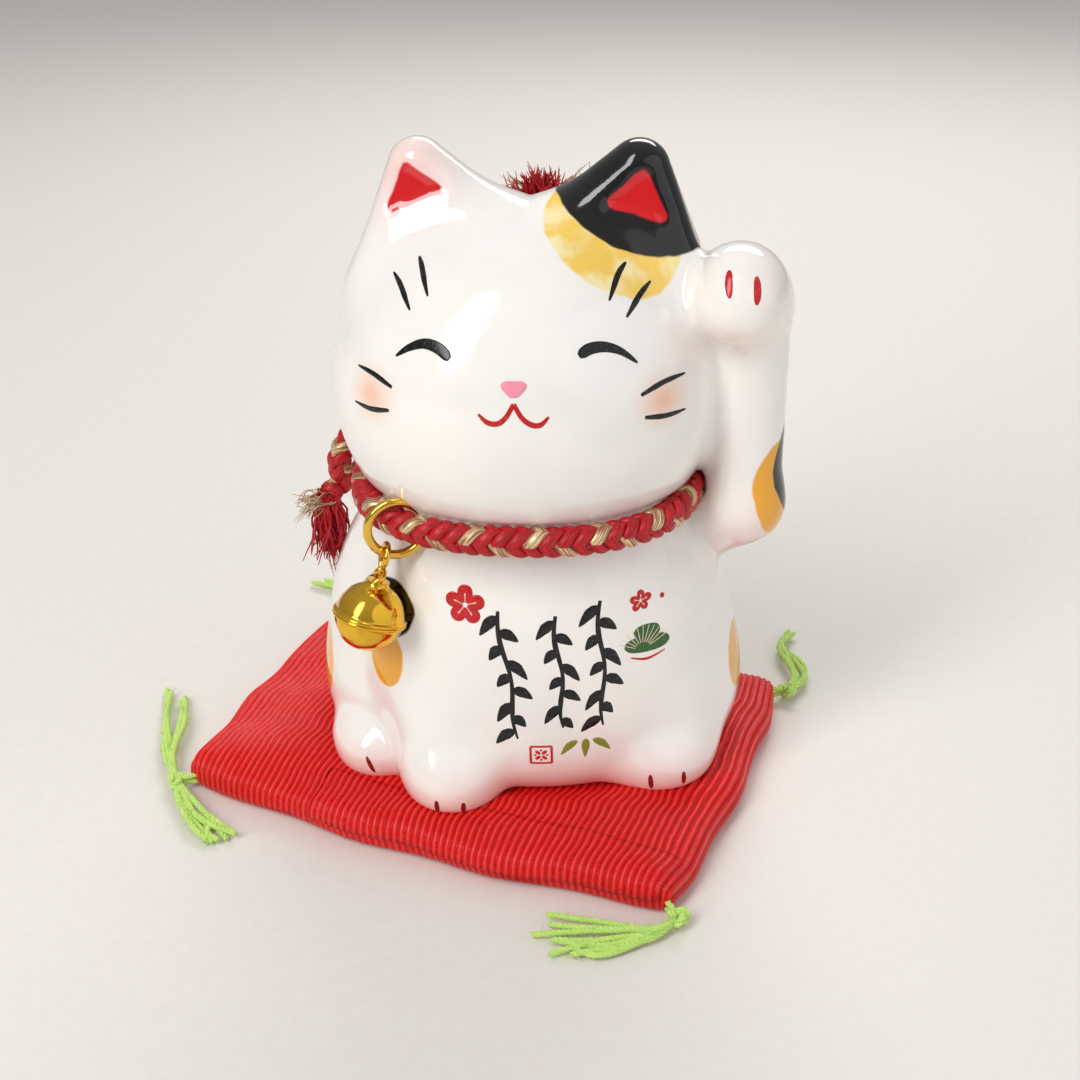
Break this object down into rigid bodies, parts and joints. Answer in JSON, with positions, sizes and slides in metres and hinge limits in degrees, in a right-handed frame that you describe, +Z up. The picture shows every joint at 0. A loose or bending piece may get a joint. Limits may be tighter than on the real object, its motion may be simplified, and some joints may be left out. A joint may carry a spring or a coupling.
{
  "type": "ceramic cat figurine",
  "caption": "Glazed ceramic beckoning cat with a braided collar, split ring and jingle bell, sitting on a thin red cushion with yarn tassels.",
  "frame": {"origin": "on the table under the middle of the cat's base, at the cushion's underside", "axes": "+Z up, the cat faces -Y, its raised arm is on +X"},
  "size_m": [0.0948, 0.0837, 0.086],
  "materials": {
    "glazed_ceramic": "glossy glaze",
    "braided_cord": "silky braid",
    "gold_wire": "polished",
    "bell_brass": "polished",
    "steel_pellet": "satin",
    "red_ribbed_cloth": "satin ribbed",
    "wadding": "matte",
    "green_yarn": "matte"
  },
  "bodies": {
    "cushion": {"cushion_cover": "red_ribbed_cloth", "cushion_backing": "red_ribbed_cloth", "cushion_filling": "wadding"},
    "cat": {"cat_shell": "glazed_ceramic", "neck_cord": "braided_cord", "cord_bow": "braided_cord"},
    "ring": {"jump_ring": "gold_wire"},
    "bell": {"bell_upper_shell": "bell_brass", "bell_lower_shell": "bell_brass", "bell_hanger": "gold_wire"},
    "pellet": {"bell_pellet": "steel_pellet"},
    "tassel_front_left_yarn": {"tassel_front_left": "green_yarn"},
    "tassel_front_right_yarn": {"tassel_front_right": "green_yarn"},
    "tassel_back_right_yarn": {"tassel_back_right": "green_yarn"},
    "tassel_back_left_yarn": {"tassel_back_left": "green_yarn"}
  },
  "joints": [
    {"name": "cat_lift", "type": "slide", "parent": "cushion", "child": "cat", "axis": [0, 0, 1], "range_m": [0, 0.03]},
    {"name": "ring_swing", "type": "hinge", "parent": "cat", "child": "ring", "pos_m": [-0.0147, -0.01539, 0.0438], "axis": [-0.7865, 0.6176, 0], "range_deg": [0, 50]},
    {"name": "bell_swing", "type": "hinge", "parent": "ring", "child": "bell", "pos_m": [-0.01624, -0.01589, 0.03966], "axis": [-0.8474, -0.2753, 0.454], "range_deg": [0, 40]},
    {"name": "pellet_rattle", "type": "slide", "parent": "bell", "child": "pellet", "axis": [0.243, 0.251, 0.937], "range_m": [0, 0.0045]},
    {"name": "tassel_front_left_swing", "type": "hinge", "parent": "cushion", "child": "tassel_front_left_yarn", "pos_m": [-0.0477, -0.01413, 0.00155], "axis": [0, 0, 1], "range_deg": [-25, 6]},
    {"name": "tassel_front_right_swing", "type": "hinge", "parent": "cushion", "child": "tassel_front_right_yarn", "pos_m": [0.02089, -0.03536, 0.00155], "axis": [0, 0, 1], "range_deg": [0, 80]},
    {"name": "tassel_back_right_swing", "type": "hinge", "parent": "cushion", "child": "tassel_back_right_yarn", "pos_m": [0.0362, 0.01413, 0.00155], "axis": [0, 0, 1], "range_deg": [-35, 35]},
    {"name": "tassel_back_left_swing", "type": "hinge", "parent": "cushion", "child": "tassel_back_left_yarn", "pos_m": [-0.03239, 0.03536, 0.00155], "axis": [0, 0, 1], "range_deg": [-40, 40]}
  ]
}
